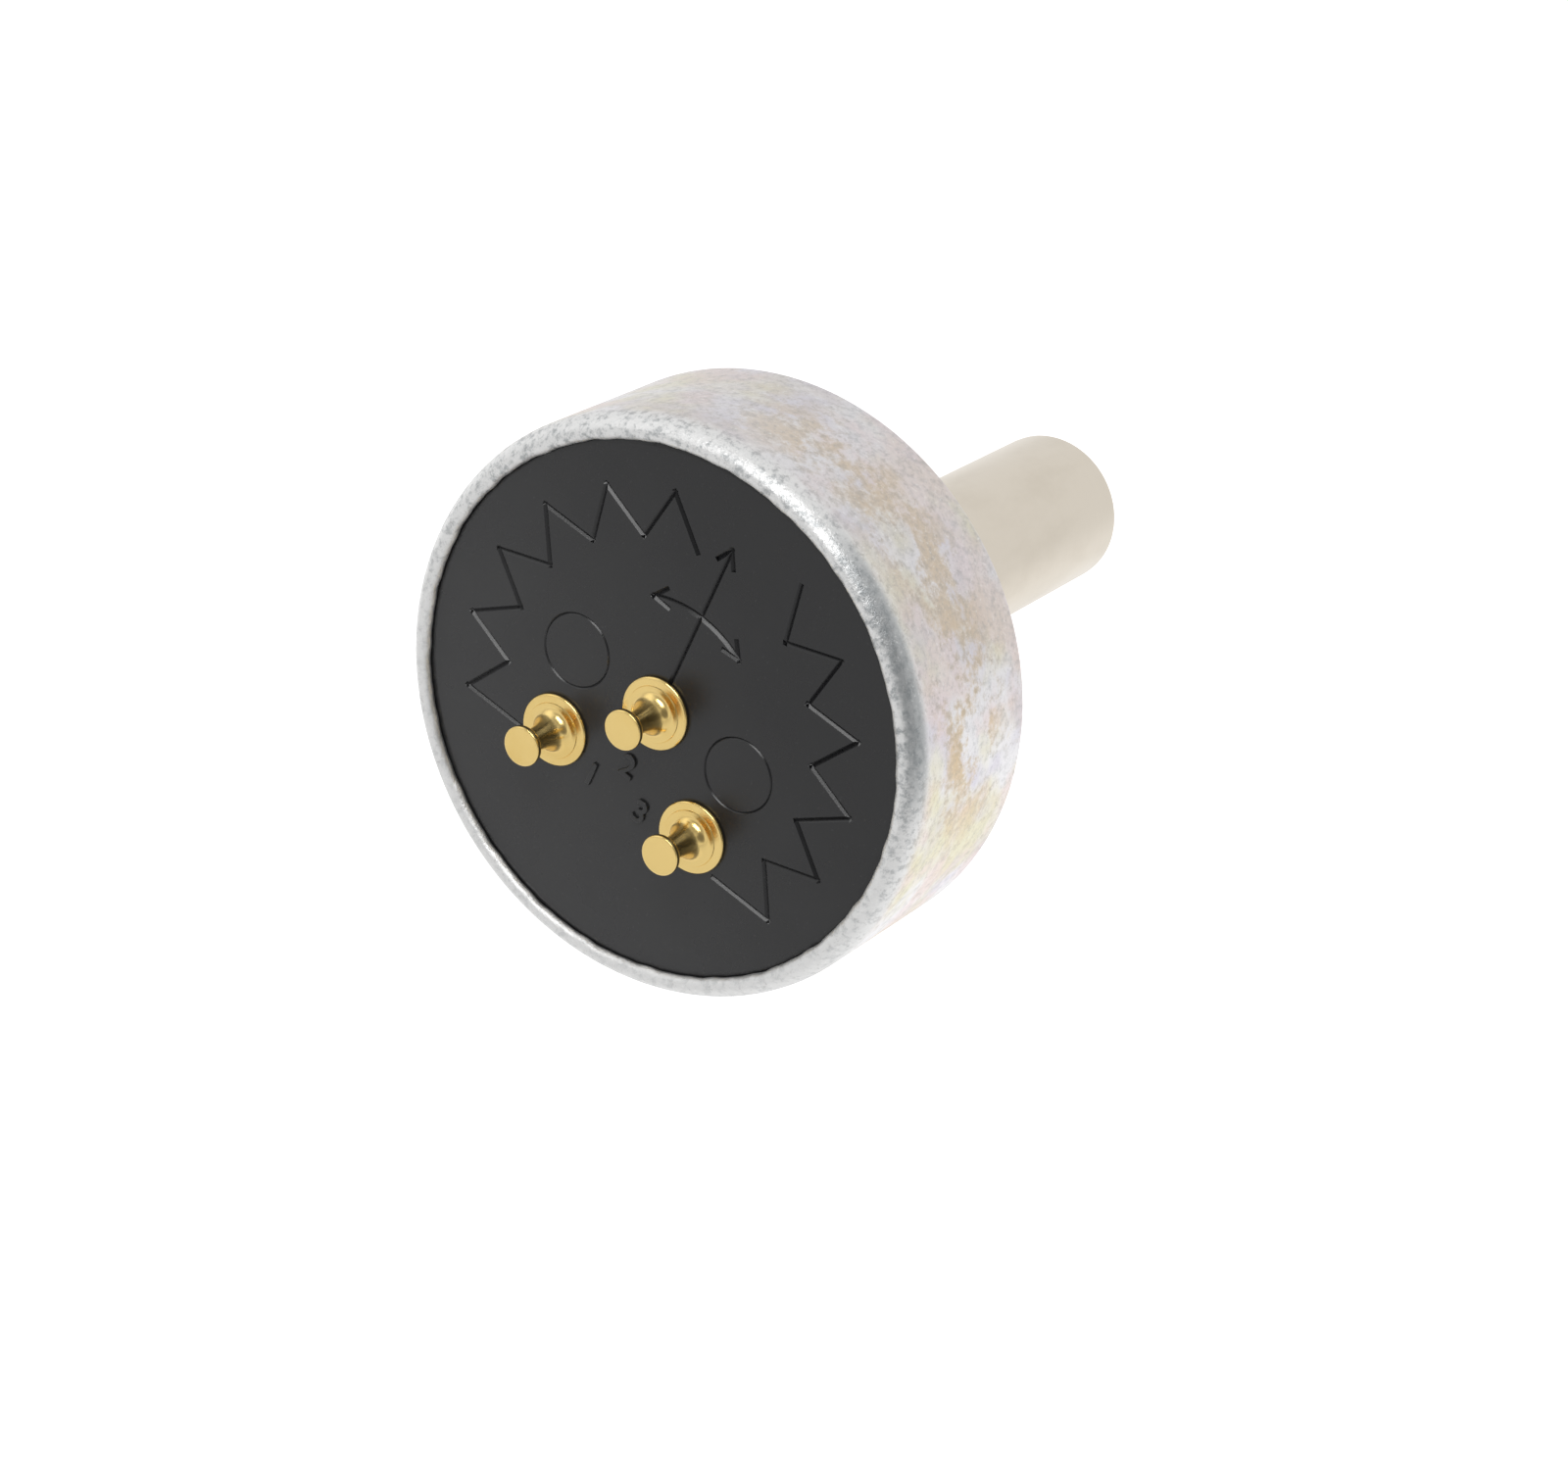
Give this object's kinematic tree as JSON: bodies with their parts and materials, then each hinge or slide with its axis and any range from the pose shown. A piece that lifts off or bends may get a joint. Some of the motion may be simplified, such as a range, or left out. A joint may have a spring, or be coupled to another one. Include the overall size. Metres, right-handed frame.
{
  "type": "rotary potentiometer",
  "caption": "Sealed single-turn rotary potentiometer with a round plated case, turret terminals, a threaded mounting bushing and a plain round shaft.",
  "frame": {"origin": "on the shaft axis, in the mounting face of the case", "axes": "+Y along the shaft towards its free end, +Z from the middle terminal towards the wiper at mid travel, away from the end terminals"},
  "size_m": [0.0222, 0.032, 0.0222],
  "materials": {
    "zinc_plated_steel": "zinc plate with clear, faintly iridescent chromate",
    "nickel_plated_brass": "satin nickel plate",
    "bare_steel": "bright stamped steel",
    "black_moulding": "satin black thermoset moulding",
    "black_rubber": "smooth moulded rubber",
    "brown_laminate": "paper phenolic laminate",
    "carbon_composition": "matt carbon composition",
    "silver_print": "fired silver print",
    "gold_plate": "bright gold plate",
    "plain_brass": "stamped brass",
    "nickel_plated_steel": "satin nickel plate, turned",
    "brown_moulding": "matt phenolic moulding",
    "spring_bronze": "rolled phosphor bronze",
    "carbon_block": "pressed carbon"
  },
  "bodies": {
    "housing": {"case": "zinc_plated_steel", "bushing": "nickel_plated_brass", "stop_plate": "bare_steel", "base": "black_moulding", "base_seal": "black_rubber", "track_card": "brown_laminate", "resistive_track": "carbon_composition", "collector": "silver_print", "end_pad_left": "silver_print", "end_pad_right": "silver_print", "terminal_left": "gold_plate", "terminal_wiper": "gold_plate", "terminal_right": "gold_plate", "thrust_washer": "plain_brass"},
    "spindle": {"shaft": "nickel_plated_steel", "retaining_ring": "bare_steel", "shaft_seal": "black_rubber", "rotor": "brown_moulding", "rotor_washer": "bare_steel", "wiper_spring": "spring_bronze", "outer_brush": "carbon_block", "inner_brush": "carbon_block"}
  },
  "joints": [
    {"name": "shaft_rotation", "type": "hinge", "parent": "housing", "child": "spindle", "pos_m": [0, 0, 0], "axis": [0, 1, 0], "range_deg": [-150, 150]}
  ]
}
